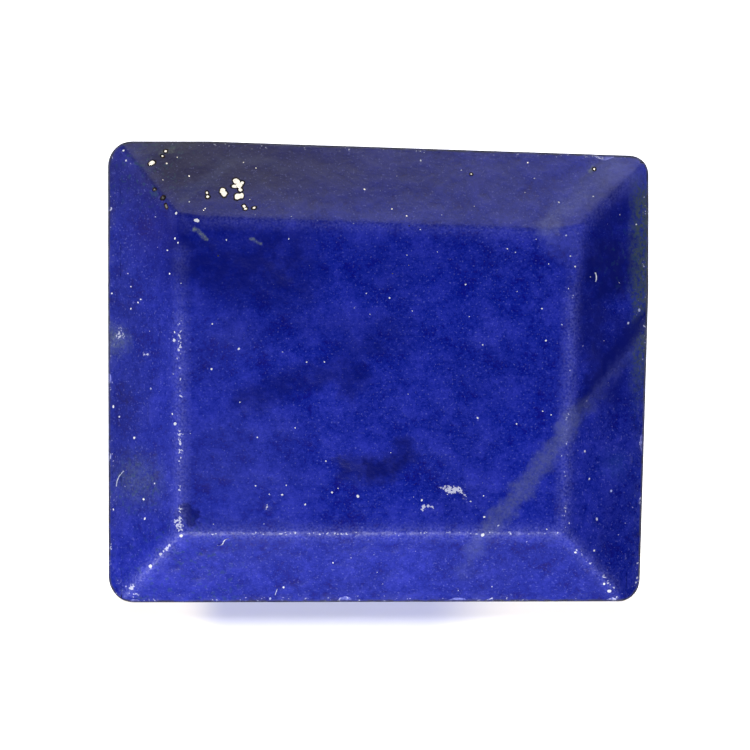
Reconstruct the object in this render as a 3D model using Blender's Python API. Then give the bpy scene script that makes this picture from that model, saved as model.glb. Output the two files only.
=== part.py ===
"""A cut and polished lapis lazuli stone for a ring: a flat table with sloping facets
round it, an upright girdle, and a back ground in to a smaller flat base.

It lies on its base. +X runs along the stone's length, +Y to the edge that is away from
the viewer, +Z up. The origin is the middle of the base's plane under the outline.
"""

import math
import random

import bmesh
import bpy
from mathutils import Vector

MM = 0.001

# Driving sizes
LENGTH = 14.0 * MM
BREADTH = 11.93 * MM
BASE_TO_GIRDLE = 1.10 * MM
GIRDLE_HEIGHT = 0.95 * MM
CROWN_HEIGHT = 1.25 * MM
BACK_INSET = 1.90 * MM

GIRDLE_FOOT = BASE_TO_GIRDLE
GIRDLE_TOP = GIRDLE_FOOT + GIRDLE_HEIGHT
TABLE_LEVEL = GIRDLE_TOP + CROWN_HEIGHT
HALF_LENGTH = LENGTH / 2
HALF_BREADTH = BREADTH / 2

# The stone was squared by eye: its far edge falls away to the right, its right edge leans
# in towards the front, and its near edge is almost true
FAR_EDGE_FALL = 0.38 * MM
RIGHT_EDGE_LEAN = 0.24 * MM
LEFT_EDGE_LEAN = 0.02 * MM
NEAR_EDGE_RISE = 0.03 * MM

# Where the crown's right and far facets meet the girdle's top, halfway along each side
RIGHT_FACET_INSET = 0.08 * MM
FAR_FACET_INSET = 0.15 * MM
NEAR_FACET_INSET = 0.015 * MM

# The polished ridges are worn round
RIDGE_ROUNDING = 0.085 * MM
RIDGE_STEPS = 4
SHARPEST_SMOOTH_ANGLE = math.radians(14)
SAME_FACET_ANGLE = math.radians(0.5)
ARC_STEP = math.radians(11)

# A flake breaks off between the girdle's face and the crown facet above it, and leaves a
# shallow scar of a few uneven faces
CHIP_LIFT = 0.75
WIDEST_CHIP_BALL = 1.4 * MM
CHIP_BALL_STEPS = 3
CHIP_UNEVENNESS = 0.45
CHIP_SEED = 11

STONE_BLUE = (0.010, 0.017, 0.260, 1.0)
STONE_ROUGHNESS = 0.28


def outline_corners():
    """The girdle's corners seen from above, anticlockwise: x, y and how far each is rounded."""
    right_edge_turn = 2.10 * MM
    far_edge_turn = -4.40 * MM
    left_edge_turn = 1.20 * MM
    return [
        (-HALF_LENGTH + LEFT_EDGE_LEAN, -HALF_BREADTH, 0.58 * MM),
        (HALF_LENGTH - RIGHT_EDGE_LEAN, -HALF_BREADTH + NEAR_EDGE_RISE, 0.60 * MM),
        (HALF_LENGTH, right_edge_turn, 0.0),
        (HALF_LENGTH, HALF_BREADTH - FAR_EDGE_FALL, 0.44 * MM),
        (far_edge_turn, HALF_BREADTH, 0.0),
        (-HALF_LENGTH, HALF_BREADTH, 0.72 * MM),
        (-HALF_LENGTH, left_edge_turn, 0.0),
    ]


def on_table(x_mm, y_mm):
    return Vector((x_mm * MM, y_mm * MM, TABLE_LEVEL))


def table_corners():
    """The table's corners, anticlockwise from the near left one."""
    return [on_table(-5.09, -4.15), on_table(4.76, -4.15), on_table(5.08, 3.61), on_table(-5.08, 3.98)]


def corner_facets():
    """Two slight facets break the table's far corners: two points on the table, and the fall in degrees."""
    return [
        (on_table(4.99, 1.95), on_table(4.38, 3.64), 12),
        (on_table(-4.42, 3.96), on_table(-5.08, 3.10), 10),
    ]


def chips():
    """The flakes knocked off the girdle's upper edge: x, y, width along the edge and depth, in mm."""
    return [
        (5.86, 5.64, 0.90, 0.110),
        (-1.55, 5.88, 0.50, 0.045),
        (2.50, 5.77, 0.60, 0.050),
        (-7.00, 4.20, 0.22, 0.050),
        (-7.00, -0.18, 0.44, 0.100),
        (-7.00, -0.95, 0.22, 0.060),
        (-7.00, -2.19, 0.40, 0.085),
        (-6.30, -5.95, 0.46, 0.065),
        (-2.80, -5.96, 0.24, 0.055),
        (-0.85, -5.96, 0.40, 0.110),
        (0.88, -5.96, 0.22, 0.055),
        (2.02, -5.95, 0.62, 0.075),
        (2.90, -5.95, 0.28, 0.065),
        (6.04, -5.93, 0.40, 0.070),
        (6.86, -1.86, 0.70, 0.070),
        (6.83, -3.36, 0.30, 0.055),
    ]


def rounded(before, corner, after, radius):
    """The points of an arc that rounds a corner between two straight edges."""
    if radius == 0:
        return [corner]
    back = (before - corner).normalized()
    ahead = (after - corner).normalized()
    half_angle = back.angle(ahead) / 2
    tangent = radius / math.tan(half_angle)
    centre = corner + (back + ahead).normalized() * radius / math.sin(half_angle)
    start = corner + back * tangent - centre
    turn = math.pi - 2 * half_angle
    steps = math.ceil(turn / ARC_STEP)
    points = []
    for step in range(steps + 1):
        angle = turn * step / steps
        cos, sin = math.cos(angle), math.sin(angle)
        points.append(centre + Vector((start.x * cos - start.y * sin, start.x * sin + start.y * cos)))
    return points


def outline():
    """The girdle's outline seen from above, anticlockwise."""
    corners = outline_corners()
    points = []
    for index, (x, y, radius) in enumerate(corners):
        before = Vector(corners[index - 1][:2])
        after = Vector(corners[(index + 1) % len(corners)][:2])
        points += rounded(before, Vector((x, y)), after, radius)
    return points


def blank():
    """The upright block that the facets are ground on."""
    shape = bmesh.new()
    foot = shape.faces.new([shape.verts.new((p.x, p.y, 0)) for p in outline()])
    grown = bmesh.ops.extrude_face_region(shape, geom=[foot])
    upper = [g for g in grown["geom"] if isinstance(g, bmesh.types.BMVert)]
    bmesh.ops.translate(shape, verts=upper, vec=(0, 0, TABLE_LEVEL))
    bmesh.ops.recalc_face_normals(shape, faces=shape.faces)
    return shape


def grind(shape, point, normal):
    """Grinds away all that stands in front of a plane, and leaves a flat facet there."""
    cut = bmesh.ops.bisect_plane(
        shape,
        geom=[*shape.verts, *shape.edges, *shape.faces],
        plane_co=point,
        plane_no=normal,
        clear_outer=True,
    )
    edges = [g for g in cut["geom_cut"] if isinstance(g, bmesh.types.BMEdge)]
    bmesh.ops.holes_fill(shape, edges=edges)


def grind_crown(shape):
    """The four sloping facets from the girdle up to the table, then the slight ones at its corners."""
    corners = table_corners()
    girdle_points = [
        Vector((0, -HALF_BREADTH + NEAR_FACET_INSET, GIRDLE_TOP)),
        Vector((HALF_LENGTH - RIGHT_FACET_INSET, 0, GIRDLE_TOP)),
        Vector((0, HALF_BREADTH - FAR_FACET_INSET, GIRDLE_TOP)),
        Vector((-HALF_LENGTH, 0, GIRDLE_TOP)),
    ]
    for index, on_girdle in enumerate(girdle_points):
        start = corners[index]
        end = corners[(index + 1) % len(corners)]
        grind(shape, start, (end - start).cross(start - on_girdle))
    for start, end, fall in corner_facets():
        outwards = (end - start).normalized().cross(Vector((0, 0, 1)))
        drop = math.radians(fall)
        grind(shape, start, outwards * math.sin(drop) + Vector((0, 0, math.cos(drop))))


def grind_back(shape):
    """The four facets under the girdle, which leave the smaller flat base."""
    far_side = Vector((FAR_EDGE_FALL, LENGTH, 0))
    sides = [
        (Vector((0, -HALF_BREADTH, GIRDLE_FOOT)), Vector((0, -1, 0))),
        (Vector((HALF_LENGTH, 0, GIRDLE_FOOT)), Vector((1, 0, 0))),
        (Vector((0, HALF_BREADTH - FAR_FACET_INSET, GIRDLE_FOOT)), far_side),
        (Vector((-HALF_LENGTH, 0, GIRDLE_FOOT)), Vector((-1, 0, 0))),
    ]
    for point, outwards in sides:
        slope = outwards.normalized() * BASE_TO_GIRDLE - Vector((0, 0, BACK_INSET))
        grind(shape, point, slope)


def round_ridges(shape):
    """Wears every ridge between two facets round."""
    ridges = [e for e in shape.edges if e.calc_face_angle(0) > SHARPEST_SMOOTH_ANGLE]
    bmesh.ops.bevel(
        shape,
        geom=ridges,
        offset=RIDGE_ROUNDING,
        offset_type="OFFSET",
        affect="EDGES",
        segments=RIDGE_STEPS,
        profile=0.5,
        material=-1,
    )


def out_and_up(x, y):
    """Away from the stone at a place on its outline, and up towards the viewer."""
    if abs(x) / HALF_LENGTH > abs(y) / HALF_BREADTH:
        side = Vector((math.copysign(1, x), 0, CHIP_LIFT))
    else:
        side = Vector((0, math.copysign(1, y), CHIP_LIFT))
    return side.normalized()


def chip_cutter():
    """One uneven ball for each flake, set so that it bites into the girdle's upper edge."""
    chance = random.Random(CHIP_SEED)
    balls = bmesh.new()
    for x_mm, y_mm, width_mm, depth_mm in chips():
        half_width = width_mm * MM / 2
        depth = depth_mm * MM
        radius = min((half_width**2 + depth**2) / (2 * depth), WIDEST_CHIP_BALL)
        place = Vector((x_mm * MM, y_mm * MM, GIRDLE_TOP))
        ball = bmesh.ops.create_icosphere(balls, subdivisions=CHIP_BALL_STEPS, radius=radius)
        for vert in ball["verts"]:
            vert.co *= 1 - CHIP_UNEVENNESS * chance.random() * depth / radius
        centre = place + out_and_up(place.x, place.y) * (radius - depth)
        bmesh.ops.translate(balls, verts=ball["verts"], vec=centre)
    mesh = bpy.data.meshes.new("chip_balls")
    balls.to_mesh(mesh)
    balls.free()
    cutter = bpy.data.objects.new("chip_balls", mesh)
    cutter.hide_render = True
    cutter.display_type = "WIRE"
    bpy.context.scene.collection.objects.link(cutter)
    return cutter


def polished_lapis():
    """Deep blue lapis lazuli, polished."""
    material = bpy.data.materials.new("polished_lapis")
    material.use_nodes = True
    shader = material.node_tree.nodes["Principled BSDF"]
    shader.inputs["Base Color"].default_value = STONE_BLUE
    shader.inputs["Roughness"].default_value = STONE_ROUGHNESS
    shader.inputs["Metallic"].default_value = 0.0
    return material


def stone():
    """The whole stone, which is one piece."""
    shape = blank()
    grind_crown(shape)
    grind_back(shape)
    bmesh.ops.dissolve_limit(shape, angle_limit=SAME_FACET_ANGLE, verts=shape.verts, edges=shape.edges)
    round_ridges(shape)
    mesh = bpy.data.meshes.new("stone")
    shape.to_mesh(mesh)
    shape.free()
    made = bpy.data.objects.new("stone", mesh)
    bpy.context.scene.collection.objects.link(made)
    mesh.materials.append(polished_lapis())
    broken = made.modifiers.new("chips", "BOOLEAN")
    broken.operation = "DIFFERENCE"
    broken.solver = "EXACT"
    broken.object = chip_cutter()
    mesh.shade_smooth()
    mesh.set_sharp_from_angle(angle=math.radians(30))
    return made


for leftover in list(bpy.data.objects):
    bpy.data.objects.remove(leftover)
stone()
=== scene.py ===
import math
import random

import bmesh
import bpy
from mathutils import Matrix, Vector, noise


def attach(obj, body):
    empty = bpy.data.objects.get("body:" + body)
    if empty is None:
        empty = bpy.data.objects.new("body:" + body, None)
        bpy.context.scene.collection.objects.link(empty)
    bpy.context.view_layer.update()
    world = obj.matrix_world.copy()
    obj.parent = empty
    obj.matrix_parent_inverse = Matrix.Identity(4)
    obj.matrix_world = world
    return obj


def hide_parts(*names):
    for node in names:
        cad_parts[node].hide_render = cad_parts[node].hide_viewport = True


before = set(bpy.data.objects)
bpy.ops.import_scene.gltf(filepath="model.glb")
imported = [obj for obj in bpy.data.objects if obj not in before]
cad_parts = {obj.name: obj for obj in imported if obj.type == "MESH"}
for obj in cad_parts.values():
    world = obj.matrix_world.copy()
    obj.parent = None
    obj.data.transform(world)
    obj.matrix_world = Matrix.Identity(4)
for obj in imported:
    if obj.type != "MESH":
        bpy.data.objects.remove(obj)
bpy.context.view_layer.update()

# The stone.
# One piece of lapis lazuli, sawn, ground to a table with four sloping crown facets and
# polished on top. Its girdle and its back are left as they came from the lap.

MM = 0.001
LENGTH = 14.0 * MM
BREADTH = 11.93 * MM
GIRDLE_FOOT = 1.10 * MM
GIRDLE_TOP = 2.05 * MM
TABLE_LEVEL = 3.30 * MM
BACK_INSET = 1.90 * MM
HALF_LENGTH = LENGTH / 2
HALF_BREADTH = BREADTH / 2

# The stone was squared by eye, so no edge is quite true
FAR_EDGE_FALL = 0.38 * MM
RIGHT_EDGE_LEAN = 0.235 * MM
LEFT_EDGE_LEAN = 0.02 * MM
NEAR_EDGE_RISE = 0.03 * MM
RIGHT_FACET_INSET = 0.08 * MM
FAR_FACET_INSET = 0.15 * MM
NEAR_FACET_INSET = 0.015 * MM

RIDGE_ROUNDING = 0.065 * MM
RIDGE_STEPS = 6
SHARPEST_SMOOTH_ANGLE = math.radians(14)
SAME_FACET_ANGLE = math.radians(0.5)
ARC_STEP = math.radians(11)

# The mesh is cut into small squares, so that the lap's slight waves can be given to it
SQUARE = 0.14 * MM
WAVES = [(0.0030 * MM, 2.6 * MM), (0.0007 * MM, 0.7 * MM)]
FLAT_BASE = 0.05 * MM
UNPOLISHED_TILT = 0.62
CLOSEST = 1e-8

POLISHED, GROUND, BROKEN = range(3)


def outline_corners():
    """The girdle's corners seen from above, anticlockwise: x, y and how far each is rounded."""
    right_edge_turn = 2.10 * MM
    far_edge_turn = -4.40 * MM
    left_edge_turn = 1.20 * MM
    return [
        (-HALF_LENGTH + LEFT_EDGE_LEAN, -HALF_BREADTH, 0.67 * MM),
        (HALF_LENGTH - RIGHT_EDGE_LEAN, -HALF_BREADTH + NEAR_EDGE_RISE, 0.57 * MM),
        (HALF_LENGTH, right_edge_turn, 0.0),
        (HALF_LENGTH, HALF_BREADTH - FAR_EDGE_FALL, 0.50 * MM),
        (far_edge_turn, HALF_BREADTH, 0.0),
        (-HALF_LENGTH, HALF_BREADTH, 0.64 * MM),
        (-HALF_LENGTH, left_edge_turn, 0.0),
    ]


def on_table(x, y):
    return Vector((x * MM, y * MM, TABLE_LEVEL))


NEAR_LEFT, NEAR_RIGHT = on_table(-5.09, -4.15), on_table(4.76, -4.15)
FAR_RIGHT, FAR_LEFT = on_table(5.08, 3.61), on_table(-5.08, 3.98)

# The crown's facets, anticlockwise from the near one: two corners of the table and the middle of
# the facet's foot. Each was ground down to a different height.
CROWN = [
    (NEAR_LEFT, NEAR_RIGHT, Vector((0, -HALF_BREADTH + NEAR_FACET_INSET, 2.113 * MM))),
    (NEAR_RIGHT, FAR_RIGHT, Vector((HALF_LENGTH - RIGHT_FACET_INSET, 0, 1.947 * MM))),
    (FAR_RIGHT, FAR_LEFT, Vector((0, HALF_BREADTH - FAR_FACET_INSET, 2.027 * MM))),
    (FAR_LEFT, NEAR_LEFT, Vector((-HALF_LENGTH, 0, 1.887 * MM))),
]


def on_crown(x, y):
    """The place on the crown's facets at this many millimetres."""
    place = on_table(x, y)
    drop = 0.0
    for start, end, foot in CROWN:
        facing = (end - start).cross(start - foot)
        drop = max(drop, (place - start).dot(facing) / facing.z)
    return place - Vector((0, 0, drop))


def rounded(before, corner, after, radius):
    """The points of an arc that rounds a corner between two straight edges."""
    if radius == 0:
        return [corner]
    back = (before - corner).normalized()
    ahead = (after - corner).normalized()
    half_angle = back.angle(ahead) / 2
    tangent = radius / math.tan(half_angle)
    centre = corner + (back + ahead).normalized() * radius / math.sin(half_angle)
    start = corner + back * tangent - centre
    turn = math.pi - 2 * half_angle
    steps = math.ceil(turn / ARC_STEP)
    points = []
    for step in range(steps + 1):
        angle = turn * step / steps
        cos, sin = math.cos(angle), math.sin(angle)
        points.append(centre + Vector((start.x * cos - start.y * sin, start.x * sin + start.y * cos)))
    return points


def outline():
    """The girdle's outline seen from above, anticlockwise."""
    corners = outline_corners()
    points = []
    for index, (x, y, radius) in enumerate(corners):
        before = Vector(corners[index - 1][:2])
        after = Vector(corners[(index + 1) % len(corners)][:2])
        points += rounded(before, Vector((x, y)), after, radius)
    return points


def blank():
    """The upright block that the facets are ground on."""
    shape = bmesh.new()
    foot = shape.faces.new([shape.verts.new((p.x, p.y, 0)) for p in outline()])
    grown = bmesh.ops.extrude_face_region(shape, geom=[foot])
    upper = [g for g in grown["geom"] if isinstance(g, bmesh.types.BMVert)]
    bmesh.ops.translate(shape, verts=upper, vec=(0, 0, TABLE_LEVEL))
    bmesh.ops.recalc_face_normals(shape, faces=shape.faces)
    return shape


def grind(shape, point, normal):
    """Grinds away all that stands in front of a plane, and leaves a flat facet there."""
    everything = [*shape.verts, *shape.edges, *shape.faces]
    cut = bmesh.ops.bisect_plane(shape, geom=everything, plane_co=point, plane_no=normal, clear_outer=True)
    edges = [g for g in cut["geom_cut"] if isinstance(g, bmesh.types.BMEdge)]
    bmesh.ops.holes_fill(shape, edges=edges)


def grind_facets(shape):
    """The crown's four facets, the slight ones at the table's far corners, and the four at the back."""
    for start, end, foot in CROWN:
        grind(shape, start, (end - start).cross(start - foot))
    slight = [
        (on_table(4.99, 1.95), on_table(4.48, 3.64), math.radians(8)),
        (on_table(-4.42, 3.96), on_table(-5.08, 3.10), math.radians(4.5)),
    ]
    for start, end, fall in slight:
        outwards = (end - start).normalized().cross(Vector((0, 0, 1)))
        grind(shape, start, outwards * math.sin(fall) + Vector((0, 0, math.cos(fall))))
    back = [
        (Vector((0, -HALF_BREADTH, GIRDLE_FOOT)), Vector((0, -1, 0))),
        (Vector((HALF_LENGTH, 0, GIRDLE_FOOT)), Vector((1, 0, 0))),
        (Vector((0, HALF_BREADTH - FAR_FACET_INSET, GIRDLE_FOOT)), Vector((FAR_EDGE_FALL, LENGTH, 0))),
        (Vector((-HALF_LENGTH, 0, GIRDLE_FOOT)), Vector((-1, 0, 0))),
    ]
    for point, outwards in back:
        grind(shape, point, outwards.normalized() * GIRDLE_FOOT - Vector((0, 0, BACK_INSET)))


def round_ridges(shape):
    """Wears every ridge between two facets round."""
    bmesh.ops.dissolve_limit(shape, angle_limit=SAME_FACET_ANGLE, verts=shape.verts, edges=shape.edges)
    ridges = [e for e in shape.edges if e.calc_face_angle(0) > SHARPEST_SMOOTH_ANGLE]
    bmesh.ops.bevel(
        shape,
        geom=ridges,
        offset=RIDGE_ROUNDING,
        offset_type="OFFSET",
        affect="EDGES",
        segments=RIDGE_STEPS,
        profile=0.5,
        material=-1,
    )


# Flakes knocked off the girdle's upper edge: x, y, width along the edge and depth, in mm
FLAKES = [
    (5.86, 5.64, 0.90, 0.110),
    (-1.55, 5.88, 0.40, 0.030),
    (2.50, 5.77, 0.50, 0.035),
    (-7.00, 4.20, 0.20, 0.040),
    (-6.97, -0.18, 0.36, 0.045),
    (-7.00, -0.95, 0.18, 0.035),
    (-7.00, -2.19, 0.36, 0.075),
    (-6.30, -5.93, 0.36, 0.040),
    (-0.85, -5.88, 0.36, 0.060),
    (0.88, -5.94, 0.18, 0.035),
    (2.02, -5.90, 0.60, 0.055),
    (2.90, -5.91, 0.24, 0.040),
    (6.04, -5.90, 0.34, 0.040),
    (6.82, -1.86, 0.60, 0.045),
    (6.79, -3.36, 0.24, 0.035),
]
FLAKE_LIFT = 0.75
WIDEST_FLAKE_BALL = 1.4 * MM
FLAKE_UNEVENNESS = 0.45
FLAKE_SEED = 11


def flake_cutter():
    """Balls for the flakes along the girdle, set so that each bites into its upper edge."""
    chance = random.Random(FLAKE_SEED)
    cutter = bmesh.new()
    for x, y, width_mm, depth_mm in FLAKES:
        if abs(x) * MM / HALF_LENGTH > abs(y) * MM / HALF_BREADTH:
            outwards = Vector((math.copysign(1, x), 0, FLAKE_LIFT)).normalized()
        else:
            outwards = Vector((0, math.copysign(1, y), FLAKE_LIFT)).normalized()
        half_width, depth = width_mm * MM / 2, depth_mm * MM
        radius = min((half_width**2 + depth**2) / (2 * depth), WIDEST_FLAKE_BALL)
        ball = bmesh.ops.create_icosphere(cutter, subdivisions=3, radius=radius)
        for vert in ball["verts"]:
            vert.co *= 1 - FLAKE_UNEVENNESS * chance.random() * depth / radius
        bmesh.ops.translate(cutter, verts=ball["verts"], vec=on_crown(x, y) + outwards * (radius - depth))
    for face in cutter.faces:
        face.material_index = BROKEN
    return cutter


def as_object(shape, name, materials):
    """A mesh object made from a bmesh, with its place in its mesh."""
    mesh = bpy.data.meshes.new(name)
    shape.to_mesh(mesh)
    shape.free()
    for material in materials:
        mesh.materials.append(material)
    made = bpy.data.objects.new(name, mesh)
    bpy.context.scene.collection.objects.link(made)
    return made


def chipped(shape, cutter, materials):
    """The shape with the cutter's balls bitten out of it."""
    body = as_object(shape, "ground_body", materials)
    balls = as_object(cutter, "flake_balls", materials)
    bites = body.modifiers.new("flakes", "BOOLEAN")
    bites.operation = "DIFFERENCE"
    bites.solver = "EXACT"
    bites.object = balls
    bites.use_self = True
    bpy.context.view_layer.update()
    evaluated = body.evaluated_get(bpy.context.evaluated_depsgraph_get())
    result = bmesh.new()
    result.from_mesh(evaluated.to_mesh())
    evaluated.to_mesh_clear()
    bpy.data.objects.remove(body)
    bpy.data.objects.remove(balls)
    return result


def cut_into_squares(shape, square):
    """Cuts the mesh along planes an even step apart, without changing its shape."""
    for axis in range(3):
        places = [vert.co[axis] for vert in shape.verts]
        low, high = min(places), max(places)
        cuts = round((high - low) / square)
        across = Vector([float(axis == other) for other in range(3)])
        for cut in range(1, cuts):
            everything = [*shape.verts, *shape.edges, *shape.faces]
            place = across * (low + (high - low) * cut / cuts)
            bmesh.ops.bisect_plane(shape, geom=everything, dist=CLOSEST, plane_co=place, plane_no=across)


def off_ridge(place, start, end):
    """How far a place is from a ridge, and how far along the ridge's length it is."""
    along = end - start
    share = (place - start).dot(along) / along.length_squared
    return (place - start - along * min(max(share, 0), 1)).length, share


# Where the ridges are worn: from, to, how thickly with specks, and how hazy, the haze being partly wear and partly
# painted sheen
FLARE_START, FLARE_END = on_table(4.99, 1.95), on_table(5.24, 3.70)
RIDGES = [
    (NEAR_LEFT, on_table(-5.09, 1.40), 0.84, 0.90),
    (on_table(-5.09, 1.40), on_table(-5.08, 3.10), 0.30, 0.40),
    (NEAR_LEFT, NEAR_RIGHT, 0.58, 0.95),
    (NEAR_RIGHT, FLARE_START, 0.45, 0.85),
    (FLARE_START, FLARE_END, 0.25, 0.50),
    (on_table(-4.42, 3.96), FAR_RIGHT, 0.15, 0.50),
    (NEAR_LEFT, on_crown(-6.50, -5.73), 1.05, 1.20),
    (NEAR_RIGHT, on_crown(6.10, -5.60), 0.70, 0.90),
    (FAR_RIGHT, on_crown(6.50, 5.02), 0.25, 0.60),
    (on_table(-4.90, 3.80), on_crown(-6.38, 5.56), 0.20, 0.30),
]
RIDGE_REACH = 0.11 * MM
RIDGE_STEP = 0.055 * MM
SCUFFED_WIDTH = 0.12 * MM
HAZY_WIDTH = 0.36 * MM
DENT_DEPTH = 0.016 * MM
DENT_SIZE = 0.10 * MM


def closeness(distance, width):
    """1 on a line, falling smoothly to 0 at the width."""
    share = min(max(1 - distance / width, 0), 1)
    return share * share * (3 - 2 * share)


def dent_ridges(shape):
    """Cuts the ridges finely across and knocks small dents into them. Gives each vertex its rub and its haze, which is
    partly wear and partly painted sheen.
    """
    for start, end, _, _ in RIDGES:
        near = [f for f in shape.faces if off_ridge(f.calc_center_median(), start, end)[0] < RIDGE_REACH]
        geometry = [*near, *{e for f in near for e in f.edges}, *{v for f in near for v in f.verts}]
        along = (end - start).normalized()
        for cut in range(1, int((end - start).length / RIDGE_STEP)):
            place = start + along * RIDGE_STEP * cut
            done = bmesh.ops.bisect_plane(shape, geom=geometry, dist=CLOSEST, plane_co=place, plane_no=along)
            geometry = done["geom"]
    rub = shape.verts.layers.float.new("rub")
    haze = shape.verts.layers.float.new("haze")
    shape.normal_update()
    moves = []
    for vert in shape.verts:
        worst = 0.0
        for start, end, scuffs, mist in RIDGES:
            distance, _ = off_ridge(vert.co, start, end)
            vert[rub] = max(vert[rub], scuffs * closeness(distance, SCUFFED_WIDTH))
            vert[haze] = max(vert[haze], mist * closeness(distance, HAZY_WIDTH))
            worst = max(worst, scuffs * (1 - distance / RIDGE_REACH))
        lump = noise.noise(vert.co / DENT_SIZE) + 0.5 * noise.noise(vert.co / DENT_SIZE * 0.3)
        dent = worst * min(max(lump * 2.2, 0), 1)
        vert[rub] = max(vert[rub], dent)
        moves.append(vert.normal * -DENT_DEPTH * dent)
    for vert, move in zip(shape.verts, moves):
        vert.co += move


FARTHEST_INSET = 1.0 * MM


def measure_insets(shape):
    """Gives each vertex its distance in from the outline, seen from above, and down from the crown, in mm."""
    points = [p.to_3d() for p in outline()]
    sides = list(zip(points, points[1:] + points[:1]))
    inset = shape.verts.layers.float.new("inset")
    below = shape.verts.layers.float.new("below")
    for vert in shape.verts:
        vert[below] = (on_crown(vert.co.x / MM, vert.co.y / MM).z - vert.co.z) / MM
        nearest = FARTHEST_INSET
        if abs(vert.co.x) > HALF_LENGTH - FARTHEST_INSET or abs(vert.co.y) > HALF_BREADTH - FARTHEST_INSET:
            flat = vert.co * Vector((1, 1, 0))
            nearest = min(nearest, *(off_ridge(flat, start, end)[0] for start, end in sides))
        vert[inset] = nearest / MM


def lap_waves(shape):
    """The lap never leaves a facet quite flat: two sizes of slight waves."""
    shape.normal_update()
    moves = []
    for vert in shape.verts:
        height = sum(depth * noise.noise(vert.co / length) for depth, length in WAVES)
        moves.append(vert.normal * height if vert.co.z > FLAT_BASE else Vector())
    for vert, move in zip(shape.verts, moves):
        vert.co += move


def add_node(tree, kind, values=(), **settings):
    """A node with its settings, and its inputs set or wired by name or number."""
    made = tree.nodes.new(kind)
    for setting, value in settings.items():
        setattr(made, setting, value)
    for socket, value in dict(values).items():
        if isinstance(value, bpy.types.NodeSocket):
            tree.links.new(value, made.inputs[socket])
        else:
            made.inputs[socket].default_value = value
    return made


def maths(tree, operation, *values):
    return add_node(tree, "ShaderNodeMath", enumerate(values), operation=operation).outputs[0]


def vectors(tree, operation, *values, gives="Vector"):
    return add_node(tree, "ShaderNodeVectorMath", enumerate(values), operation=operation).outputs[gives]


def fade(tree, value, start, end, low=0.0, high=1.0):
    """Runs smoothly from low, where the value is start, to high, where it is end."""
    values = {"Value": value, "From Min": start, "From Max": end, "To Min": low, "To Max": high}
    return add_node(tree, "ShaderNodeMapRange", values, interpolation_type="SMOOTHSTEP", clamp=False).outputs[0]


def paint(tree, share, under, over):
    """One colour laid over another, by a share from 0 to 1."""
    sockets = {0: share, 6: under, 7: over}
    return add_node(tree, "ShaderNodeMix", sockets, data_type="RGBA", clamp_factor=True).outputs[2]


def cloud(tree, place, size, detail=2.0, roughness=0.5, gives="Fac"):
    """Noise whose lumps are about this many millimetres across."""
    values = {"Vector": place, "Scale": 1 / size, "Detail": detail, "Roughness": roughness}
    return add_node(tree, "ShaderNodeTexNoise", values).outputs[gives]


def new_group(name, inputs, outputs):
    """An empty shader node group, with its input and output nodes."""
    group = bpy.data.node_groups.new(name, "ShaderNodeTree")
    for way, sockets in (("INPUT", inputs), ("OUTPUT", outputs)):
        for socket, kind in sockets.items():
            group.interface.new_socket(socket, in_out=way, socket_type="NodeSocket" + kind)
    return group, group.nodes.new("NodeGroupInput").outputs, group.nodes.new("NodeGroupOutput").inputs


def make_streak_group():
    """How near a place is to a straight line between two points: 1 within the inner width, 0 beyond the outer."""
    inputs = {"Place": "Vector", "From": "Vector", "To": "Vector", "Outer": "Float", "Inner": "Float"}
    group, given, results = new_group("streak", inputs, {"Mask": "Float"})
    along = vectors(group, "SUBTRACT", given["To"], given["From"])
    reach = vectors(group, "SUBTRACT", given["Place"], given["From"])
    dot = vectors(group, "DOT_PRODUCT", reach, along, gives="Value")
    whole = vectors(group, "DOT_PRODUCT", along, along, gives="Value")
    share = maths(group, "MAXIMUM", maths(group, "MINIMUM", maths(group, "DIVIDE", dot, whole), 1.0), 0.0)
    nearest = add_node(group, "ShaderNodeVectorMath", {0: along, "Scale": share}, operation="SCALE").outputs[0]
    distance = vectors(group, "DISTANCE", reach, nearest, gives="Value")
    group.links.new(fade(group, distance, given["Outer"], given["Inner"]), results["Mask"])
    return group


STREAK = make_streak_group()


def streak(tree, place, points, outer, inner=0.0):
    """A mask that follows a line through these points, in millimetres."""
    whole = None
    for start, end in zip(points, points[1:]):
        values = {"Place": place, "From": (*start, 0)[:3], "To": (*end, 0)[:3], "Outer": outer, "Inner": inner}
        node = tree.nodes.new("ShaderNodeGroup")
        node.node_tree = STREAK
        for socket, value in values.items():
            if isinstance(value, bpy.types.NodeSocket):
                tree.links.new(value, node.inputs[socket])
            else:
                node.inputs[socket].default_value = value
        whole = node.outputs[0] if whole is None else maths(tree, "MAXIMUM", whole, node.outputs[0])
    return whole


LAPIS = (0.0062, 0.0160, 0.325, 1)
GRAIN_TINT = (0.0520, 0.0570, 0.400)
NAVY = (0.0004, 0.0040, 0.150, 1)
DARK_ROCK = (0.0080, 0.0045, 0.055, 1)
SLATE = (0.0300, 0.0360, 0.130, 1)
CALCITE = (0.7500, 0.7700, 0.950, 1)
# Pale blue-white: painted sheen in the rock and along the ridges, and the powder of fresh breaks
HAZE = (0.3600, 0.3900, 1.000, 1)
VEIN_ROCK = (0.1050, 0.1250, 0.270, 1)
PALE_VEIN = (0.2200, 0.2500, 0.500, 1)
GREEN_ROCK = (0.2400, 0.3000, 0.200, 1)
GREEN_FLECK = (0.0200, 0.0620, 0.110, 1)
OLIVE_ROCK = (0.0500, 0.0740, 0.100, 1)
PURPLE_ROCK = (0.0500, 0.0200, 0.200, 1)
TEAL_ROCK = (0.0600, 0.2000, 0.300, 1)
# Painted shade: near black, laid along the outline and along the girdle's upper edge
SHADED_EDGE = (0.0040, 0.0045, 0.016, 1)

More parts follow.
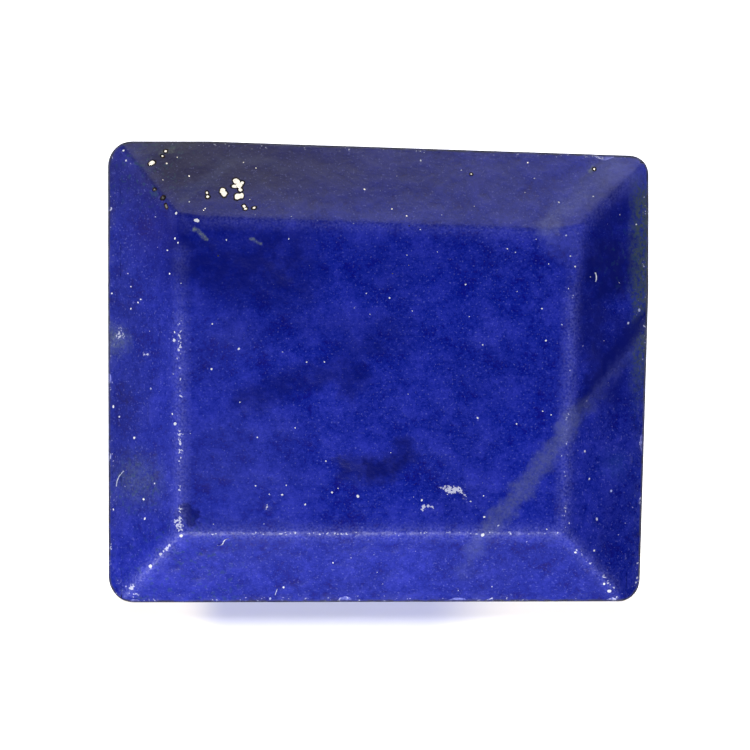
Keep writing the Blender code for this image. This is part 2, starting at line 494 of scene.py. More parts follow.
# Darker blotches, seen from above: their paths in mm, outer and inner half-widths, and strength
BLOTCHES = [
    ([(-3.40, -0.75), (-2.30, -0.30), (-1.20, -0.05), (-0.50, -0.15)], 0.60, 0.05, 0.66),
    ([(-0.95, 0.55), (-0.10, 0.66)], 0.50, 0.05, 0.60),
    ([(-0.86, 0.20), (-0.75, -0.50)], 0.42, 0.05, 0.72),
    ([(-0.75, -2.45), (0.15, -2.55), (0.66, -2.05)], 0.52, 0.10, 1.00),
    ([(-4.93, -3.58), (-4.74, -3.80)], 0.26, 0.12, 1.00),
    ([(-4.60, 3.10), (-2.60, 2.70)], 1.90, 0.40, 0.86),
    ([(-0.50, 2.90), (1.50, 2.80)], 1.50, 0.20, 0.25),
    ([(-3.60, 1.30), (-1.20, 1.20), (0.60, 1.00)], 0.90, 0.05, 0.28),
    ([(6.10, 4.30), (6.05, 3.30)], 0.95, 0.30, 0.72),
    ([(5.95, 2.95), (5.90, 2.45)], 0.95, 0.40, 1.00),
    ([(5.45, 1.90), (5.60, 0.60)], 0.80, 0.10, 0.72),
    ([(6.10, 1.20), (6.00, -0.60)], 0.80, 0.10, 0.55),
    ([(5.90, -4.20), (6.20, -3.20)], 0.70, 0.05, 0.25),
]


def greatest(tree, masks):
    """The strongest of several masks at each place."""
    whole = masks[0]
    for mask in masks[1:]:
        whole = maths(tree, "MAXIMUM", whole, mask)
    return whole


def spot(tree, place, x, y, radius, strength, inner=0.0):
    """A soft round patch."""
    mask = streak(tree, place, [(x, y), (x + 0.01, y)], radius, inner)
    return maths(tree, "MULTIPLY", mask, strength)


def make_lapis_group():
    """The rock itself: blue lazurite in fine grains and clouds, dark and green rock, calcite veins."""
    group, given, results = new_group("lapis", {"Place": "Vector"}, {"Color": "Color", "Grain": "Float"})
    place = given["Place"]
    level = vectors(group, "MULTIPLY", place, (1, 1, 0))
    jitter = cloud(group, place, 0.30, detail=3, roughness=0.6, gives="Color")
    jitter = vectors(group, "MULTIPLY", vectors(group, "SUBTRACT", jitter, (0.5, 0.5, 0.5)), (0.6, 0.6, 0))
    wander = vectors(group, "ADD", level, jitter)
    gently = vectors(group, "ADD", level, vectors(group, "MULTIPLY", jitter, (0.4, 0.4, 0)))

    # Grain by grain and cloud by cloud, some of the rock is darker and some paler
    grain = cloud(group, place, 1.6, detail=6, roughness=1.0)
    clouds = cloud(group, place, 2.0, detail=2)
    tone = maths(group, "MULTIPLY", maths(group, "SUBTRACT", grain, 0.5), 2.3)
    brightness = maths(group, "MULTIPLY_ADD", maths(group, "SUBTRACT", clouds, 0.5), 0.45, 1.0)
    plain = add_node(group, "ShaderNodeVectorMath", {0: LAPIS[:3], "Scale": brightness}, operation="SCALE").outputs[0]
    extra = add_node(group, "ShaderNodeVectorMath", {0: GRAIN_TINT, "Scale": tone}, operation="SCALE").outputs[0]
    colour = vectors(group, "MAXIMUM", vectors(group, "ADD", plain, extra), (0.0005, 0.002, 0.03))

    # The far left corner is darker rock, and the left edge is slate grey
    split = add_node(group, "ShaderNodeSeparateXYZ", {0: wander}).outputs
    far = fade(group, split["Y"], 3.4, 5.2)
    left = fade(group, split["X"], 7.5, -7.0)
    far = maths(group, "MULTIPLY", far, fade(group, split["X"], -6.7, -5.4, 0.35, 1.0))
    colour = paint(group, maths(group, "MULTIPLY", far, left), colour, DARK_ROCK)
    slate = maths(group, "MULTIPLY", fade(group, split["X"], -5.0, -6.6), fade(group, split["Y"], -5.2, -3.0, 0.0, 0.26))
    colour = paint(group, slate, colour, SLATE)

    # Painted light: a pale sheen on the near left of the table and at two corners, and frost in single grains, which
    # are pale specks and partly painted glints
    painted_sheen = greatest(group, [
        spot(group, wander, -3.90, -2.60, 3.20, 0.036),
        spot(group, wander, -4.20, 0.60, 2.20, 0.024),
        spot(group, wander, 4.72, 3.30, 0.75, 0.080),
        spot(group, wander, 6.45, 5.20, 1.10, 0.150),
    ])
    frost = fade(group, cloud(group, place, 0.055, detail=1), 0.60, 0.80, 0.0, 0.20)
    colour = paint(group, maths(group, "MAXIMUM", painted_sheen, frost), colour, HAZE)

    # Darker blotches, and purple rock at the far left
    lumps = fade(group, cloud(group, place, 0.45, detail=3, roughness=0.7), 0.36, 0.60, 0.70, 1.10)
    dark = 0.0
    for path, outer, inner, strength in BLOTCHES:
        blotch = maths(group, "MULTIPLY", streak(group, wander, path, outer, inner), strength)
        dark = maths(group, "MAXIMUM", dark, blotch)
    colour = paint(group, maths(group, "MULTIPLY", dark, lumps), colour, NAVY)
    purple = spot(group, wander, -5.90, 3.60, 1.10, 0.10)
    colour = paint(group, purple, colour, PURPLE_ROCK)

    # Green rock along the right edge and in two patches on the left
    dust = fade(group, cloud(group, place, 0.09, detail=3, roughness=0.8), 0.38, 0.62, 0.35, 1.45)
    side = vectors(group, "ADD", level, vectors(group, "MULTIPLY", jitter, (0.5, 0.0, 0)))
    side = add_node(group, "ShaderNodeSeparateXYZ", {0: side}).outputs["X"]
    beside = maths(group, "MULTIPLY", fade(group, side, 6.38, 6.74), fade(group, split["Y"], -1.6, 1.0, 0.08, 0.80))
    edge = maths(group, "MULTIPLY", beside, fade(group, split["Y"], 5.3, 4.4))
    colour = paint(group, maths(group, "MULTIPLY", edge, dust), colour, OLIVE_ROCK)
    flecks = fade(group, cloud(group, place, 0.16, detail=2, roughness=0.6), 0.57, 0.66)
    fleck_area = greatest(group, [
        spot(group, level, -5.10, -5.50, 2.20, 0.38, inner=1.0),
        spot(group, level, -6.30, -3.00, 1.00, 0.38, inner=0.4),
        spot(group, level, 6.80, 2.90, 1.60, 0.35, inner=0.2),
        spot(group, level, -5.90, 5.40, 1.60, 0.60, inner=0.5),
    ])
    colour = paint(group, maths(group, "MULTIPLY", flecks, fleck_area), colour, GREEN_FLECK)
    green = greatest(group, [
        spot(group, wander, -6.80, 0.80, 0.62, 0.22),
        spot(group, wander, -6.20, -2.75, 1.05, 0.13),
        maths(group, "MULTIPLY", streak(group, gently, [(-4.72, 3.66), (-4.39, 3.40)], 0.08, 0.01), 0.42),
        maths(group, "MULTIPLY", streak(group, gently, [(-3.24, 3.42), (-3.02, 3.26)], 0.07, 0.01), 0.30),
        maths(group, "MULTIPLY", streak(group, gently, [(5.46, 5.16), (5.56, 5.30)], 0.09, 0.02), 0.40),
        maths(group, "MULTIPLY", streak(group, gently, [(-5.62, 5.62), (-5.30, 5.78)], 0.10, 0.02), 0.25),
        maths(group, "MULTIPLY", streak(group, gently, [(-6.20, 5.70), (-4.80, 5.86)], 0.22, 0.02), 0.06),
    ])
    colour = paint(group, maths(group, "MULTIPLY", green, dust), colour, GREEN_ROCK)
    teal = spot(group, wander, 6.10, -2.37, 0.60, 0.06)
    colour = paint(group, maths(group, "MULTIPLY", teal, dust), colour, TEAL_ROCK)

    # The veins
    navy = greatest(group, [
        streak(group, wander, [(6.95, 1.45), (6.30, 0.69), (5.85, 0.19), (5.55, -0.23), (5.24, -0.80)], 0.34, 0.02),
        maths(group, "MULTIPLY", streak(group, gently, [(5.75, 5.39), (5.23, 4.89)], 0.08, 0.01), 0.60),
    ])
    colour = paint(group, maths(group, "MULTIPLY", navy, 0.90), colour, NAVY)
    veins = [
        ([(6.95, 1.15), (6.35, 0.30), (5.85, -0.30), (5.40, -0.80)], 0.28, 0.02, 0.16),
        ([(5.40, -0.80), (5.10, -1.05)], 0.34, 0.04, 0.28),
        ([(5.02, -1.10), (4.75, -1.65), (4.16, -2.40)], 0.38, 0.08, 0.44),
        ([(4.16, -2.40), (3.38, -3.42), (2.86, -3.95)], 0.38, 0.08, 0.42),
        ([(2.86, -3.95), (2.44, -4.62)], 0.38, 0.06, 0.28),
        ([(2.44, -4.62), (2.18, -5.15)], 0.34, 0.02, 0.13),
        ([(-4.99, 4.58), (-4.30, 4.95), (-3.70, 5.61)], 0.30, 0.03, 0.20),
        ([(-3.70, 5.61), (-2.60, 5.30)], 0.26, 0.03, 0.12),
    ]
    veined = 0.0
    for path, outer, inner, share in veins:
        strength = maths(group, "MULTIPLY", streak(group, wander, path, outer, inner), share)
        veined = maths(group, "MAXIMUM", veined, strength)
    powder = fade(group, cloud(group, place, 0.09, detail=3, roughness=0.8), 0.38, 0.62, 0.70, 1.25)
    colour = paint(group, maths(group, "MULTIPLY", veined, powder), colour, VEIN_ROCK)
    pale = greatest(group, [
        maths(group, "MULTIPLY", streak(group, wander, [(6.00, 5.40), (5.28, 4.53)], 0.60, 0.05), 0.16),
        maths(group, "MULTIPLY", streak(group, wander, [(5.28, 4.53), (4.76, 4.20)], 0.50, 0.05), 0.20),
        maths(group, "MULTIPLY", streak(group, wander, [(4.76, 4.20), (4.44, 3.86), (4.36, 3.60)], 0.40, 0.08), 0.24),
    ])
    colour = paint(group, maths(group, "MULTIPLY", pale, powder), colour, PALE_VEIN)
    group.links.new(colour, results["Color"])
    group.links.new(grain, results["Grain"])
    return group


LAPIS_ROCK = make_lapis_group()


def in_mm(point):
    return tuple(c / MM for c in point)


def make_scuff_group():
    """Scuffs: tiny white specks where rub is from 0 to 1, and a soft pale haze where haze is, partly wear and partly
    painted sheen.
    """
    inputs = {"Place": "Vector", "Color": "Color", "Rub": "Float", "Haze": "Float"}
    group, given, results = new_group("scuffs", inputs, {"Color": "Color", "Dull": "Float"})
    crumbs = cloud(group, given["Place"], 0.060, detail=1, roughness=0.5)
    patchy = fade(group, cloud(group, given["Place"], 0.34, detail=3), 0.40, 0.60, 0.05, 1.25)
    rub = maths(group, "MULTIPLY", given["Rub"], patchy)
    least = maths(group, "MULTIPLY_ADD", rub, -0.35, 0.800)
    most = maths(group, "ADD", least, 0.10)
    specks = fade(group, crumbs, least, most, 0.0, 0.70)
    # Painted sheen: a soft pale haze along the ridges, partly wear
    mist = maths(group, "MULTIPLY", given["Haze"], fade(group, crumbs, 0.35, 0.65, 0.06, 0.19))
    colour = paint(group, mist, given["Color"], HAZE)
    colour = paint(group, specks, colour, CALCITE)
    group.links.new(colour, results["Color"])
    group.links.new(maths(group, "MAXIMUM", maths(group, "MULTIPLY", rub, 0.6), specks), results["Dull"])
    return group


SCUFFS = make_scuff_group()


def lapis_material(name, rub_at):
    """A material of the rock's colour with scuffs. rub_at(tree, place) gives how scuffed and how hazy it is."""
    material = bpy.data.materials.new(name)
    material.use_nodes = True
    tree = material.node_tree
    shader = tree.nodes["Principled BSDF"]
    where = add_node(tree, "ShaderNodeTexCoord").outputs["Object"]
    place = add_node(tree, "ShaderNodeVectorMath", {0: where, "Scale": 1 / MM}, operation="SCALE").outputs[0]
    rock = tree.nodes.new("ShaderNodeGroup")
    rock.node_tree = LAPIS_ROCK
    tree.links.new(place, rock.inputs["Place"])
    scuffed = tree.nodes.new("ShaderNodeGroup")
    scuffed.node_tree = SCUFFS
    tree.links.new(place, scuffed.inputs["Place"])
    tree.links.new(rock.outputs["Color"], scuffed.inputs["Color"])
    for socket, amount in zip(("Rub", "Haze"), rub_at(tree, place)):
        if isinstance(amount, bpy.types.NodeSocket):
            tree.links.new(amount, scuffed.inputs[socket])
        else:
            scuffed.inputs[socket].default_value = amount
    return material, tree, shader, place, scuffed.outputs["Color"], scuffed.outputs["Dull"], rock.outputs["Grain"]


def bump(tree, shader, height, depth):
    """Gives the surface a fine relief this many metres deep."""
    values = {"Strength": 1.0, "Distance": depth, "Height": height}
    tree.links.new(add_node(tree, "ShaderNodeBump", values).outputs[0], shader.inputs["Normal"])


# White flakes in the table, in loose clusters
CLUSTERS = [
    ([(1.50, -3.08), (1.77, -3.02), (2.05, -3.04)], 0.16, 1.00),
    ([(2.05, -3.04), (2.22, -3.22)], 0.10, 1.00),
    ([(0.90, -3.62), (1.12, -3.50), (1.35, -3.44)], 0.17, 1.35),
    ([(-4.11, 0.30), (-4.09, 0.10)], 0.08, 0.60),
    ([(-5.98, 0.45), (-5.95, 0.43)], 0.12, 0.60),
    ([(-2.86, -3.48), (-2.74, -3.55)], 0.12, 0.70),
    ([(-6.70, 1.05), (-6.62, 0.80)], 0.22, 0.70),
    ([(-5.12, -3.90), (-4.96, -4.16)], 0.22, 0.80),
    ([(-6.72, -5.42), (-6.45, -5.72), (-6.20, -5.84)], 0.16, 0.62),
    ([(5.75, -5.78), (6.20, -5.74)], 0.18, 0.70),
    ([(6.07, -0.01), (5.83, -0.41)], 0.15, 0.75),
    ([(5.48, -0.66), (5.34, -0.85)], 0.10, 0.60),
    ([(6.62, -5.60), (6.72, -5.30)], 0.05, 0.70),
]
# Crumbs along the outline
CRUMBLED_INSET = 0.32
CRUMBLED = 0.50


def own(tree, name):
    """A value that the mesh gives at each vertex: rub, haze, inset or below."""
    return add_node(tree, "ShaderNodeAttribute", attribute_name=name).outputs["Fac"]


def crown_rub(tree, place):
    """The scuffs along the ridges, in the clusters and beside the outline, and the haze, partly painted sheen."""
    level = vectors(tree, "MULTIPLY", place, (1, 1, 0))
    rub = maths(tree, "MAXIMUM", own(tree, "rub"), fade(tree, own(tree, "inset"), CRUMBLED_INSET, 0.0, 0.0, CRUMBLED))
    for path, width, amount in CLUSTERS:
        cluster = maths(tree, "MULTIPLY", streak(tree, level, path, width, width * 0.3), amount)
        rub = maths(tree, "MAXIMUM", rub, cluster)
    return rub, own(tree, "haze")


def polished_lapis():
    """The polished crown: glossy, scuffed pale and matte along its ridges, and painted dark at its very edge as shade.
    """
    material, tree, shader, place, colour, dull, grain = lapis_material("polished_lapis", crown_rub)
    patchy = fade(tree, cloud(tree, place, 0.22, detail=3), 0.38, 0.58, 0.25, 0.90)
    # Painted shade: a patchy dark band along the outline, which is also made matte
    rim = maths(tree, "MULTIPLY", fade(tree, own(tree, "inset"), 0.085, 0.030), patchy)
    colour = paint(tree, rim, colour, SHADED_EDGE)
    across = add_node(tree, "ShaderNodeSeparateXYZ", {0: place}).outputs["X"]
    shine = maths(tree, "MULTIPLY", fade(tree, across, -6.5, -1.5, 0.42, 0.50), fade(tree, own(tree, "haze"), 0.70, 0.10, 0.40, 1.0))
    tree.links.new(shine, shader.inputs["Specular IOR Level"])
    tree.links.new(colour, shader.inputs["Base Color"])
    rough = maths(tree, "MULTIPLY_ADD", maths(tree, "MAXIMUM", dull, rim), 0.30, 0.25)
    tree.links.new(rough, shader.inputs["Roughness"])
    relief = cloud(tree, place, 1.6, detail=6, roughness=0.5)
    bump(tree, shader, relief, 0.09 * MM)
    return material


def ground_lapis():
    """The girdle and the back, left matte by the lap, with its fine lines, and painted dark shade along the upper edge.
    """
    material, tree, shader, place, colour, dull, grain = lapis_material("ground_lapis", lambda tree, place: (0.25, 0.0))
    lines = cloud(tree, vectors(tree, "MULTIPLY", place, (1, 1, 14)), 0.5, detail=4, roughness=0.7)
    colour = paint(tree, fade(tree, lines, 0.35, 0.7, 0.2, 0.55), colour, DARK_ROCK)
    # Painted shade: darker along the girdle's upper edge, just below the crown
    edge_shade = maths(tree, "MULTIPLY_ADD", cloud(tree, place, 0.30, detail=3), 0.24, own(tree, "below"))
    edge_shade = fade(tree, edge_shade, 0.40, 0.18, 0.0, 0.92)
    colour = paint(tree, edge_shade, colour, SHADED_EDGE)
    tree.links.new(colour, shader.inputs["Base Color"])
    tree.links.new(maths(tree, "MULTIPLY_ADD", lines, 0.3, 0.55), shader.inputs["Roughness"])
    shader.inputs["Specular IOR Level"].default_value = 0.15
    bump(tree, shader, lines, 0.004 * MM)
    return material


def broken_lapis():
    """Fresh breaks: pale, powdery and matte."""
    material, tree, shader, place, colour, dull, grain = lapis_material("broken_lapis", lambda tree, place: (0.9, 1.0))
    colour = paint(tree, fade(tree, cloud(tree, place, 0.10, detail=2), 0.35, 0.65, 0.05, 0.45), colour, HAZE)
    # Painted shade: darker near the outline
    colour = paint(tree, fade(tree, own(tree, "inset"), 0.070, 0.030, 0.0, 0.8), colour, SHADED_EDGE)
    tree.links.new(colour, shader.inputs["Base Color"])
    shader.inputs["Roughness"].default_value = 0.6
    shader.inputs["Specular IOR Level"].default_value = 0.2
    bump(tree, shader, grain, 0.004 * MM)
    return material


def make_stone():
    materials = [polished_lapis(), ground_lapis(), broken_lapis()]
    shape = blank()
    grind_facets(shape)
    round_ridges(shape)
    shape.normal_update()
    for face in shape.faces:
        face.material_index = POLISHED if face.normal.z > UNPOLISHED_TILT else GROUND
    shape = chipped(shape, flake_cutter(), materials)
    cut_into_squares(shape, SQUARE)
    dent_ridges(shape)
    measure_insets(shape)
    lap_waves(shape)
    bmesh.ops.triangulate(shape, faces=[f for f in shape.faces if len(f.verts) > 4])
    for face in shape.faces:
        face.smooth = True
    made = as_object(shape, "polished_stone", materials)
    made.data.set_sharp_from_angle(angle=math.radians(25))
    return made


stone = make_stone()
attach(stone, "root")
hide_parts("stone")

# The pyrite.
# Small brassy crystals that grew in the rock. They were ground and polished with it, so
# each ends in a flat, flush with the stone's surface.

# Seen from above: x, y and width in mm
PYRITE = [
    (-5.84, 5.39, 0.165), (-5.49, 5.70, 0.080), (-5.57, 5.57, 0.060),
    (-3.65, 4.90, 0.200), (-3.58, 4.80, 0.180), (-3.69, 4.77, 0.140), (-3.50, 4.86, 0.110),
    (-3.54, 4.68, 0.120), (-3.60, 4.51, 0.200), (-3.50, 4.53, 0.170),
    (-4.00, 4.66, 0.190), (-3.96, 4.58, 0.170), (-4.40, 4.60, 0.080), (-4.38, 4.50, 0.085),
    (-3.44, 4.25, 0.100), (-3.40, 4.18, 0.090), (-3.18, 4.21, 0.080), (-5.44, 4.25, 0.110),
    (-5.53, 4.47, 0.080), (-5.75, 4.69, 0.070), (2.40, 5.10, 0.050), (5.58, 5.24, 0.060),
]
STRAY_PYRITE = 34
FLAT_PROUD = 0.0032 * MM
GRAIN_SEED = 5
# Each of the larger ones sits in a thin dark rim: a ring of painted shade laid round it
RIM_WIDTH = 0.095
RIM_PROUD = 0.0018 * MM


def meets_stone(start, way):
    """Where a line from outside meets the stone, and the way that its surface faces there."""
    _, place, facing, _ = stone.ray_cast(start, way)
    return place, facing


def from_above(x, y):
    return meets_stone(Vector((x * MM, y * MM, 2 * TABLE_LEVEL)), Vector((0, 0, -1)))


def set_grain(shape, place, facing, width, depth_share, chance, proud=FLAT_PROUD):
    """One uneven grain in the stone's surface, ground off flat just above it."""
    turn = facing.to_track_quat("Z", "Y").to_matrix().to_4x4() @ Matrix.Rotation(chance.uniform(0, 6.3), 4, "Z")
    grain = bmesh.new()
    bmesh.ops.create_icosphere(grain, subdivisions=2, radius=width / 2)
    stretch = Vector((1, chance.uniform(0.6, 0.95), depth_share))
    for vert in grain.verts:
        vert.co = vert.co * stretch * chance.uniform(0.82, 1.12)
    everything = [*grain.verts, *grain.edges, *grain.faces]
    level = Vector((0, 0, proud))
    cut = bmesh.ops.bisect_plane(grain, geom=everything, plane_co=level, plane_no=(0, 0, 1), clear_outer=True)
    bmesh.ops.holes_fill(grain, edges=[g for g in cut["geom_cut"] if isinstance(g, bmesh.types.BMEdge)])
    bmesh.ops.recalc_face_normals(grain, faces=grain.faces)
    grain.transform(Matrix.Translation(place) @ turn)
    mesh = bpy.data.meshes.new("one_grain")
    grain.to_mesh(mesh)
    grain.free()
    shape.from_mesh(mesh)
    bpy.data.meshes.remove(mesh)


def brassy():
    """Polished pyrite: pale brass, with a little dark tarnish."""
    material = bpy.data.materials.new("polished_pyrite")
    material.use_nodes = True
    tree = material.node_tree
    shader = tree.nodes["Principled BSDF"]
    where = add_node(tree, "ShaderNodeTexCoord").outputs["Object"]
    place = add_node(tree, "ShaderNodeVectorMath", {0: where, "Scale": 1 / MM}, operation="SCALE").outputs[0]
    tarnish = fade(tree, cloud(tree, place, 0.06, detail=3), 0.52, 0.75, 0.0, 0.6)
    tree.links.new(paint(tree, tarnish, (1.00, 0.94, 0.83, 1), (0.60, 0.42, 0.24, 1)), shader.inputs["Base Color"])
    tree.links.new(maths(tree, "MULTIPLY_ADD", tarnish, 0.4, 0.18), shader.inputs["Roughness"])
    shader.inputs["Metallic"].default_value = 1.0
    return material


bpy.context.view_layer.update()
chance = random.Random(GRAIN_SEED)
crystals = bmesh.new()
rims = bmesh.new()
for x, y, width in PYRITE:
    own_seed = chance.random()
    set_grain(crystals, *from_above(x, y), width * MM, 0.6, random.Random(own_seed))
    set_grain(rims, *from_above(x, y), (width + RIM_WIDTH) * MM, 0.6, random.Random(own_seed), RIM_PROUD)
for _ in range(STRAY_PYRITE):
    # Most of the stray ones are in the dark rock at the far left, some of them in the girdle
    x, y = chance.triangular(-6.9, 6.5, -5.5), chance.triangular(1.0, 5.7, 5.6)
    if chance.random() < 0.35:
        spot_on = meets_stone(Vector((x * MM, LENGTH, chance.uniform(1.2, 2.0) * MM)), Vector((0, -1, 0)))
    else:
        spot_on = from_above(x, y)
    set_grain(crystals, *spot_on, chance.uniform(0.025, 0.06) * MM, 0.6, chance)
def dark_rim():
    """Painted shade round the pyrite: near black, browner in patches."""
    material = bpy.data.materials.new("pyrite_rims")
    material.use_nodes = True
    tree = material.node_tree
    shader = tree.nodes["Principled BSDF"]
    where = add_node(tree, "ShaderNodeTexCoord").outputs["Object"]
    place = add_node(tree, "ShaderNodeVectorMath", {0: where, "Scale": 1 / MM}, operation="SCALE").outputs[0]
    # Painted shade: near black, with browner patches
    browner = fade(tree, cloud(tree, place, 0.08, detail=2), 0.40, 0.65)
    tree.links.new(paint(tree, browner, (0.002, 0.002, 0.006, 1), (0.030, 0.014, 0.008, 1)), shader.inputs["Base Color"])
    shader.inputs["Roughness"].default_value = 0.6
    shader.inputs["Specular IOR Level"].default_value = 0.15
    return material


pyrite_rims = as_object(rims, "pyrite_rims", [dark_rim()])
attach(pyrite_rims, "root")
pyrite = as_object(crystals, "pyrite_grains", [brassy()])
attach(pyrite, "root")

# The white specks.
# Grains of calcite in the stone, ground flush with it, and crumbs of it in small pits.

# Seen from above: x, y, width in mm
SPECKS = [
    (-6.58, 5.72, 0.070), (-6.51, 5.46, 0.060), (-5.41, 3.12, 0.055), (-5.21, 3.42, 0.060), (-5.13, 3.31, 0.050),
    (-5.18, 4.07, 0.080), (-4.65, 3.88, 0.140), (-6.46, 2.54, 0.040), (-5.35, 2.52, 0.050), (-3.89, 3.38, 0.050),
    (-6.38, 1.63, 0.055), (-6.12, 1.87, 0.055), (-6.19, 1.79, 0.055), (-5.85, -0.43, 0.060), (-6.89, 2.03, 0.060),
    (-6.38, 2.20, 0.050), (-6.85, -0.90, 0.085), (-6.69, -1.16, 0.050), (-6.29, -1.70, 0.075), (-6.04, -3.28, 0.075),
    (-6.01, -3.78, 0.075), (-6.85, -3.56, 0.055), (-5.75, -2.87, 0.050), (5.31, -2.04, 0.060), (5.43, -2.75, 0.060),
    (6.01, -3.07, 0.070), (5.63, -3.79, 0.090), (5.56, -4.60, 0.060), (4.90, -3.88, 0.050), (6.75, 1.60, 0.085),
    (6.46, 1.26, 0.070), (4.65, 4.36, 0.060), (4.82, 3.50, 0.050), (5.05, 2.70, 0.050), (4.20, 1.62, 0.045),
    (4.30, 0.80, 0.050), (4.71, 1.21, 0.050), (-0.52, -3.19, 0.085), (-1.87, -3.40, 0.060), (-1.18, -3.09, 0.055),
    (-2.46, -3.15, 0.060), (-1.16, -4.91, 0.050), (-3.57, 0.59, 0.070), (-4.27, 0.07, 0.060), (-4.25, 1.23, 0.045),
    (1.12, -3.29, 0.060), (2.37, -3.32, 0.050), (2.72, -3.72, 0.060), (3.08, -3.94, 0.060), (2.55, -1.18, 0.060),
    (2.68, 0.69, 0.045), (2.24, 2.24, 0.050), (-1.83, 0.25, 0.045), (1.10, 5.46, 0.060), (-5.23, 0.81, 0.100),
    (-5.22, 1.02, 0.060), (-5.21, -1.33, 0.100), (-5.28, -1.08, 0.060), (-5.05, -4.20, 0.090), (-5.86, -5.00, 0.110),
    (-5.60, -4.68, 0.070), (2.68, -4.18, 0.110), (5.83, -5.47, 0.080), (5.97, -5.66, 0.110), (5.07, -4.64, 0.070),
    (-2.44, -5.56, 0.060), (-2.79, -5.86, 0.090), (6.67, 3.81, 0.050),
]
STRAY_SPECKS = 70


def chalky():
    """Calcite: white, slightly blue where it is thin over the blue rock."""
    material = bpy.data.materials.new("white_calcite")
    material.use_nodes = True
    tree = material.node_tree
    shader = tree.nodes["Principled BSDF"]
    where = add_node(tree, "ShaderNodeTexCoord").outputs["Object"]
    place = add_node(tree, "ShaderNodeVectorMath", {0: where, "Scale": 1 / MM}, operation="SCALE").outputs[0]
    thin = fade(tree, cloud(tree, place, 0.7, detail=2), 0.48, 0.72)
    tree.links.new(paint(tree, thin, (0.80, 0.81, 0.85, 1), (0.32, 0.36, 0.70, 1)), shader.inputs["Base Color"])
    shader.inputs["Roughness"].default_value = 0.5
    return material


crumbs = bmesh.new()
for x, y, width in SPECKS:
    set_grain(crumbs, *from_above(x, y), width * MM, 0.5, chance)
for _ in range(STRAY_SPECKS):
    x, y = chance.uniform(-6.8, 6.6), chance.uniform(-5.8, 5.5)
    set_grain(crumbs, *from_above(x, y), chance.uniform(0.018, 0.045) * MM, 0.5, chance)
calcite = as_object(crumbs, "calcite_specks", [chalky()])
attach(calcite, "root")

# The lint.
# A few short fibres of cotton from the cloth that the stone was wiped with, lying on it.

# Seen from above: start, bend and end of each, and its thickness, in mm
FIBRES = [
    ((-6.56, -2.56), (-6.74, -2.70), (-6.76, -2.96), 0.030),
    ((-4.12, -4.45), (-4.00, -4.46), (-3.97, -4.37), 0.028),
    ((-3.97, -4.37), (-3.94, -4.28), (-3.83, -4.27), 0.028),
    ((-2.60, -5.60), (-2.63, -5.66), (-2.66, -5.76), 0.017),
    ((5.57, 2.55), (5.63, 2.44), (5.58, 2.32), 0.030),
]
FIBRE_STEPS = 12
FIBRE_SIDES = 6


def lay_fibre(shape, start, bend, end, thickness):
    """A thin tube that lies on the stone along a curve."""
    ring = None
    previous = None
    for step in range(FIBRE_STEPS + 1):
        t = step / FIBRE_STEPS
        flat = Vector(start) * (1 - t) ** 2 + Vector(bend) * 2 * t * (1 - t) + Vector(end) * t**2
        place, facing = from_above(flat.x, flat.y)
        centre = place + facing * thickness / 2
        if previous is None:
            way = Vector((bend[0] - start[0], bend[1] - start[1], 0))
        else:
            way = centre - previous
        previous = centre
        turn = way.to_track_quat("Z", "Y").to_matrix().to_4x4()
        circle = bmesh.ops.create_circle(shape, segments=FIBRE_SIDES, radius=thickness / 2,
                                         matrix=Matrix.Translation(centre) @ turn)["verts"]
        edges = list({edge for vert in circle for edge in vert.link_edges})
        if ring is None:
            shape.faces.new(circle)
        else:
            bmesh.ops.bridge_loops(shape, edges=[*ring, *edges])
        ring = edges
    shape.faces.new(circle)


def cotton():
    """Bleached cotton, slightly uneven."""
    material = bpy.data.materials.new("white_cotton")
    material.use_nodes = True
    tree = material.node_tree
    shader = tree.nodes["Principled BSDF"]
    where = add_node(tree, "ShaderNodeTexCoord").outputs["Object"]
    place = add_node(tree, "ShaderNodeVectorMath", {0: where, "Scale": 1 / MM}, operation="SCALE").outputs[0]
    uneven = fade(tree, cloud(tree, place, 0.08, detail=2), 0.35, 0.65)
    tree.links.new(paint(tree, uneven, (0.75, 0.77, 0.85, 1), (0.35, 0.38, 0.60, 1)), shader.inputs["Base Color"])
    shader.inputs["Roughness"].default_value = 0.8
    return material


threads = bmesh.new()
for start, bend, end, thickness in FIBRES:
    lay_fibre(threads, start, bend, end, thickness * MM)
bmesh.ops.recalc_face_normals(threads, faces=threads.faces)
lint = as_object(threads, "lint", [cotton()])
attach(lint, "root")

# The floor.
# A plain white sheet under the stone.

FLOOR_SIZE = 1.2
floor_shape = bmesh.new()
bmesh.ops.create_grid(floor_shape, x_segments=2, y_segments=2, size=FLOOR_SIZE / 2)
white_sheet = bpy.data.materials.new("white_sheet")
white_sheet.use_nodes = True
white_sheet.node_tree.nodes["Principled BSDF"].inputs["Base Color"].default_value = (0.9, 0.9, 0.9, 1)
white_sheet.node_tree.nodes["Principled BSDF"].inputs["Roughness"].default_value = 0.8
floor = as_object(floor_shape, "floor", [white_sheet])

# The light.
# A white tent, brighter on the far side, a large soft lamp from the near left for the
# stone, and a soft lamp for the sheet.

HORIZON = {"far": 1.55, "near": 0.45, "left": 0.20, "right": 0.02}
ZENITH = 0.01


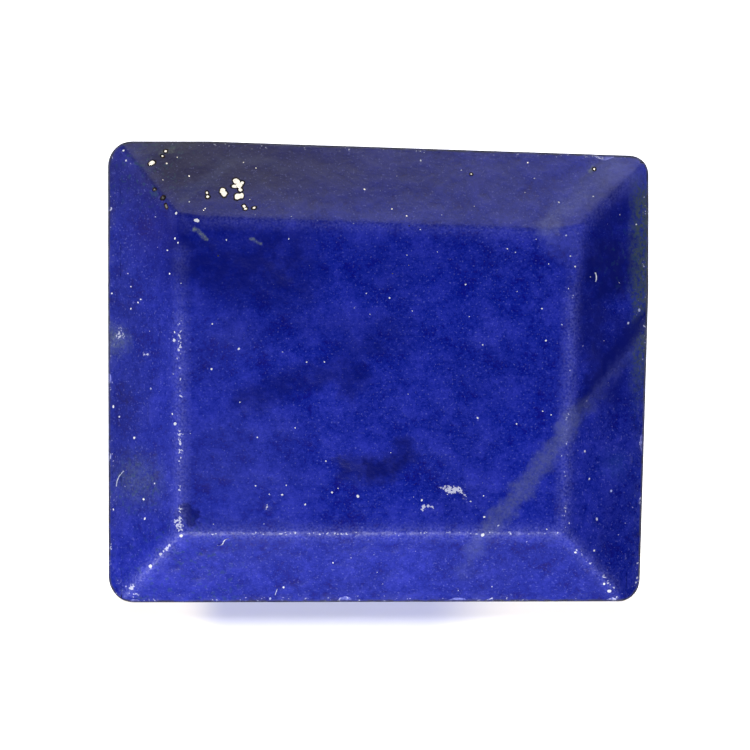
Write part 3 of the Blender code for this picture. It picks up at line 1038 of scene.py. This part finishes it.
def light_tent():
    """The tent's brightness by direction, and a plain pale backdrop for the camera itself."""
    world = bpy.data.worlds.new("tent")
    bpy.context.scene.world = world
    world.use_nodes = True
    tree = world.node_tree
    way = add_node(tree, "ShaderNodeTexCoord").outputs["Generated"]
    split = add_node(tree, "ShaderNodeSeparateXYZ", {0: way}).outputs
    flat = vectors(tree, "NORMALIZE", vectors(tree, "MULTIPLY", way, (1, 1, 0)))
    around = add_node(tree, "ShaderNodeSeparateXYZ", {0: flat}).outputs
    total = None
    for side, (axis, sign) in {"far": ("Y", 1), "near": ("Y", -1), "left": ("X", -1), "right": ("X", 1)}.items():
        facing = maths(tree, "MAXIMUM", maths(tree, "MULTIPLY", around[axis], sign), 0.0)
        part = maths(tree, "MULTIPLY", maths(tree, "POWER", facing, 4.0), HORIZON[side])
        total = part if total is None else maths(tree, "ADD", total, part)
    up = fade(tree, split["Z"], 0.20, 0.80)
    grey = maths(tree, "ADD", maths(tree, "MULTIPLY", total, maths(tree, "SUBTRACT", 1.0, up)),
                 maths(tree, "MULTIPLY", up, ZENITH))
    backdrop = add_node(tree, "ShaderNodeBackground", {"Color": (1, 1, 1, 1), "Strength": 0.9})
    tent = add_node(tree, "ShaderNodeBackground", {"Color": (1, 1, 1, 1), "Strength": grey})
    seen = add_node(tree, "ShaderNodeLightPath").outputs["Is Camera Ray"]
    both = add_node(tree, "ShaderNodeMixShader", {0: seen, 1: tent.outputs[0], 2: backdrop.outputs[0]})
    tree.links.new(both.outputs[0], tree.nodes["World Output"].inputs["Surface"])


light_tent()


def lamp(name, kind, direction, distance, lights_up, **settings):
    """A lamp that faces the stone from this direction and lights only these objects."""
    data = bpy.data.lights.new(name, kind)
    for setting, value in settings.items():
        setattr(data, setting, value)
    made = bpy.data.objects.new(name, data)
    bpy.context.scene.collection.objects.link(made)
    direction = Vector(direction).normalized()
    made.location = direction * distance
    made.rotation_euler = direction.to_track_quat("Z", "Y").to_euler()
    lit = bpy.data.collections.new(name + "_lights")
    for piece in lights_up:
        lit.objects.link(piece)
    made.light_linking.receiver_collection = lit
    return made


pieces = [stone, pyrite_rims, pyrite, calcite, lint]
lamp("key", "AREA", (-0.28, -0.60, 0.80), 0.14, pieces, size=0.08, energy=0.225)
lamp("sheet_lamp", "SUN", (0.02, 0.34, 0.90), 0.20, [floor], angle=math.radians(20), energy=4.2)
lamp("sheet_fill", "SUN", (0, 0, 1), 0.20, [floor], color=(0.77, 0.79, 1.0), energy=2.17, use_shadow=False)

# Two narrow lamps keep the sheet white at the ends of the stone's shadow
for name, x, reach, blend in (("left_pool", -8.2 * MM, 4.25 * MM, 0.55), ("right_pool", 6.8 * MM, 5.6 * MM, 0.8)):
    height = 200 * MM
    pool = lamp(name, "SPOT", (0, 0, 1), height, [floor], color=(1.0, 0.88, 0.45), energy=0.9, use_shadow=False)
    pool.location = (x, -6.1 * MM, height)
    pool.data.spot_size = 2 * math.atan(reach / height)
    pool.data.spot_blend = blend

# The camera.
# It looks straight down, from far enough to flatten the view.

FRAME_WIDTH = 19.401 * MM
LENS = 250.0
SENSOR = 36.0
eye = bpy.data.cameras.new("camera")
eye.lens = LENS
eye.sensor_width = SENSOR
eye.clip_start = 0.001
eye.clip_end = 2.0
camera = bpy.data.objects.new("camera", eye)
bpy.context.scene.collection.objects.link(camera)
camera.location = (-0.080 * MM, -0.081 * MM, GIRDLE_TOP + FRAME_WIDTH * LENS / SENSOR)
bpy.context.scene.camera = camera
bpy.context.scene.view_settings.view_transform = "Standard"
